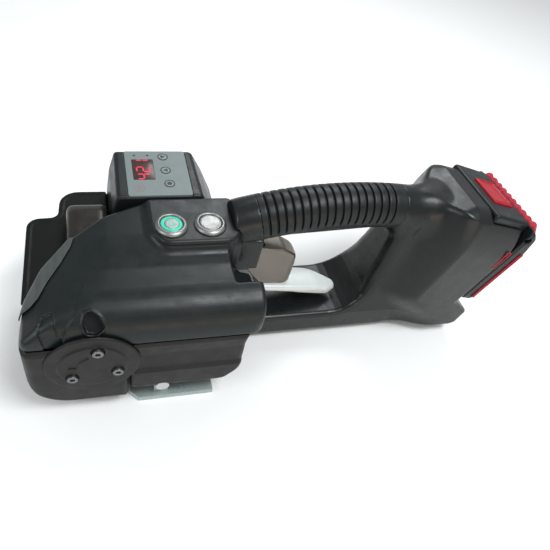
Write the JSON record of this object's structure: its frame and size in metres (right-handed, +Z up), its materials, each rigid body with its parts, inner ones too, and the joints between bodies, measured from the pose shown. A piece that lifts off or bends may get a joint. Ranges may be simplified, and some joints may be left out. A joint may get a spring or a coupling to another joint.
{
  "type": "battery strapping tool",
  "caption": "Battery strapping tool that tensions, friction welds and cuts plastic strap, with an arched handle, a squeeze lever, a display and a slide-on battery.",
  "frame": {"origin": "on the flat underside of the base plate, straight below the axis of the power button along the tool and below the handle's middle plane across it", "axes": "+X runs from the nose to the battery along the longest extent, +Y points to the side where the strap goes in, +Z points up from the base plate"},
  "size_m": [0.3702, 0.1486, 0.1353],
  "materials": {
    "black_plastic": "satin moulded nylon, near black with a slight blue green tint",
    "warm_black_plastic": "satin moulded nylon, near black",
    "grey_strip": "light grey moulded plastic",
    "shield_black": "semi gloss black plastic",
    "dome_brown": "dark smoky brown plastic",
    "button_steel": "turned stainless steel",
    "light_ring": "teal light ring",
    "display_film": "grey keypad film",
    "display_window": "dark red window",
    "key_grey": "light grey",
    "circuit_green": "green circuit board",
    "grip_rubber": "grooved soft black rubber",
    "belt_rubber": "black rubber",
    "zinc_plate": "speckled zinc coating",
    "cast_aluminium": "as cast",
    "tool_steel": "hardened and ground",
    "bright_steel": "ground",
    "bronze": "bearing bronze and steel",
    "lever_cast": "polished casting",
    "lever_chrome": "chromed steel with a brownish reflection",
    "latch_red": "red",
    "trim_red": "red soft grip",
    "cell_blue": "sleeved cells"
  },
  "bodies": {
    "frame": {"main_housing": "black_plastic", "gear_housing": "warm_black_plastic", "gear_cover": "warm_black_plastic", "cover_screws": "bright_steel", "motor_cover": "warm_black_plastic", "nose_guard": "grey_strip", "front_shield": "shield_black", "tension_unit_cover": "dome_brown", "base_plate": "zinc_plate", "base_pin": "bright_steel", "gripper_plate": "tool_steel", "weld_anvil": "tool_steel", "head_frame": "cast_aluminium", "weld_frame": "cast_aluminium", "weld_unit_cover": "black_plastic", "display_housing": "black_plastic", "display_panel": "display_film", "display_window": "display_window", "control_board": "circuit_green", "power_button_bezel": "button_steel", "tension_button_bezel": "button_steel", "near_handle_shell": "black_plastic", "far_handle_shell": "black_plastic", "grip_sleeve": "grip_rubber", "terminal_block": "black_plastic", "lever_pin": "bright_steel", "lever_spring": "tool_steel", "motor_can": "tool_steel", "shaft_bearings": "bright_steel", "drive_belt": "belt_rubber"},
    "power_button": {"power_button_cap": "button_steel", "power_light_ring": "light_ring"},
    "tension_button": {"tension_button_cap": "button_steel"},
    "up_key_body": {"up_key": "key_grey"},
    "down_key_body": {"down_key": "key_grey"},
    "settings_key_body": {"settings_key": "key_grey"},
    "rocker": {"rocker_arm": "cast_aluminium", "rocker_bearings": "bronze"},
    "wheel": {"tension_wheel": "tool_steel", "tension_shaft": "bright_steel", "wheel_gear": "tool_steel"},
    "drive": {"drive_shaft": "bright_steel", "crown_gear": "tool_steel", "drive_gear": "tool_steel"},
    "rotor": {"motor_shaft": "bright_steel", "motor_pinion": "tool_steel", "motor_pulley": "tool_steel"},
    "eccentric": {"eccentric_shaft": "bright_steel", "eccentric_pulley": "tool_steel"},
    "weld_head": {"weld_arm": "tool_steel", "weld_plate": "tool_steel"},
    "cutter": {"cutter_blade": "tool_steel"},
    "lever": {"rocker_lever": "lever_cast", "lever_plate": "lever_chrome"},
    "battery": {"battery_upper_case": "black_plastic", "battery_lower_case": "black_plastic", "battery_trim": "trim_red", "battery_cells": "cell_blue"},
    "latch": {"battery_latch": "latch_red"}
  },
  "joints": [
    {"name": "lever_squeeze", "type": "hinge", "parent": "frame", "child": "lever", "pos_m": [0.058, 0, 0.081], "axis": [0, -1, 0], "range_deg": [0, 16], "stiffness_Nm_per_rad": 0.6, "springref_deg": -20.05},
    {"name": "rocker_lift", "type": "hinge", "parent": "frame", "child": "rocker", "pos_m": [-0.054, 0, 0.06], "axis": [0, 1, 0], "range_deg": [0, 8.4]},
    {"name": "motor_spin", "type": "hinge", "parent": "frame", "child": "rotor", "pos_m": [0, -0.049, 0.06], "axis": [1, 0, 0], "continuous": true},
    {"name": "drive_spin", "type": "hinge", "parent": "frame", "child": "drive", "pos_m": [-0.054, 0, 0.06], "axis": [0, 1, 0], "continuous": true},
    {"name": "wheel_spin", "type": "hinge", "parent": "rocker", "child": "wheel", "pos_m": [-0.076, 0, 0.032], "axis": [0, 1, 0], "continuous": true},
    {"name": "eccentric_spin", "type": "hinge", "parent": "frame", "child": "eccentric", "pos_m": [0, 0.027, 0.042], "axis": [1, 0, 0], "continuous": true},
    {"name": "weld_shift", "type": "slide", "parent": "frame", "child": "weld_head", "axis": [0, 1, 0], "range_m": [-0.001, 0.001], "stiffness_N_per_m": 4000},
    {"name": "cutter_drop", "type": "slide", "parent": "frame", "child": "cutter", "axis": [0, 0, 1], "range_m": [-0.003, 0], "stiffness_N_per_m": 500, "springref_m": 0.001},
    {"name": "power_button_press", "type": "slide", "parent": "frame", "child": "power_button", "axis": [0, 0, 1], "range_m": [-0.0018, 0], "stiffness_N_per_m": 700, "springref_m": 0.001},
    {"name": "tension_button_press", "type": "slide", "parent": "frame", "child": "tension_button", "axis": [0, 0, 1], "range_m": [-0.0018, 0], "stiffness_N_per_m": 700, "springref_m": 0.001},
    {"name": "up_key_press", "type": "slide", "parent": "frame", "child": "up_key_body", "axis": [0, -0.0567, 0.9984], "range_m": [-0.0005, 0], "stiffness_N_per_m": 600, "springref_m": 0.0005},
    {"name": "down_key_press", "type": "slide", "parent": "frame", "child": "down_key_body", "axis": [0, -0.0567, 0.9984], "range_m": [-0.0005, 0], "stiffness_N_per_m": 600, "springref_m": 0.0005},
    {"name": "settings_key_press", "type": "slide", "parent": "frame", "child": "settings_key_body", "axis": [0, -0.0567, 0.9984], "range_m": [-0.0005, 0], "stiffness_N_per_m": 600, "springref_m": 0.0005},
    {"name": "battery_slide", "type": "slide", "parent": "frame", "child": "battery", "axis": [0.2756, 0, 0.9613], "range_m": [0, 0.09]},
    {"name": "latch_press", "type": "slide", "parent": "battery", "child": "latch", "axis": [0.2756, 0, 0.9613], "range_m": [-0.003, 0], "stiffness_N_per_m": 800, "springref_m": 0.0015}
  ],
  "couplings": [
    {"joint": "rocker_lift", "follows": "lever_squeeze", "ratio": 0.52},
    {"joint": "drive_spin", "follows": "motor_spin", "ratio": -0.5},
    {"joint": "wheel_spin", "follows": "motor_spin", "ratio": 0.39286},
    {"joint": "eccentric_spin", "follows": "motor_spin", "ratio": 1}
  ]
}
